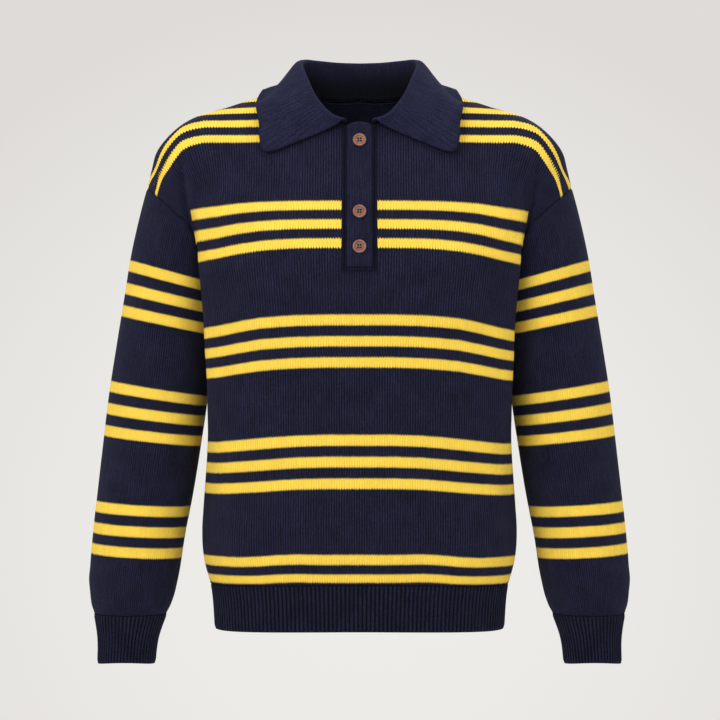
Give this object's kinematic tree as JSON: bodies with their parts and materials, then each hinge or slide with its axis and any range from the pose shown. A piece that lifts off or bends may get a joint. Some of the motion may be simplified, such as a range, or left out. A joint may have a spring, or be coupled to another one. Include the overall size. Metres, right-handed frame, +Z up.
{
  "type": "polo sweater",
  "caption": "Knitted polo sweater, worn form, with dropped shoulders, a folded collar, a buttoned placket, ribbed hem and cuffs and groups of stripes.",
  "frame": {"origin": "middle of the body between the shoulders' necks, where the wearer's shoulders hold the garment", "axes": "+Z up, front towards -Y, the wearer's left sleeve towards +X"},
  "size_m": [0.6738, 0.2415, 0.7591],
  "materials": {
    "navy_knit": "matte",
    "navy_rib": "matte",
    "collar_knit": "matte",
    "button_brown": "satin"
  },
  "bodies": {
    "root": {"front": "navy_knit", "back": "navy_knit", "sleeve_left": "navy_knit", "sleeve_right": "navy_knit", "cuff_left": "navy_rib", "cuff_right": "navy_rib", "hem_rib": "navy_rib", "collar": "collar_knit", "placket_over": "collar_knit", "placket_under": "collar_knit", "button_top": "button_brown", "button_middle": "button_brown", "button_bottom": "button_brown"}
  },
  "joints": []
}
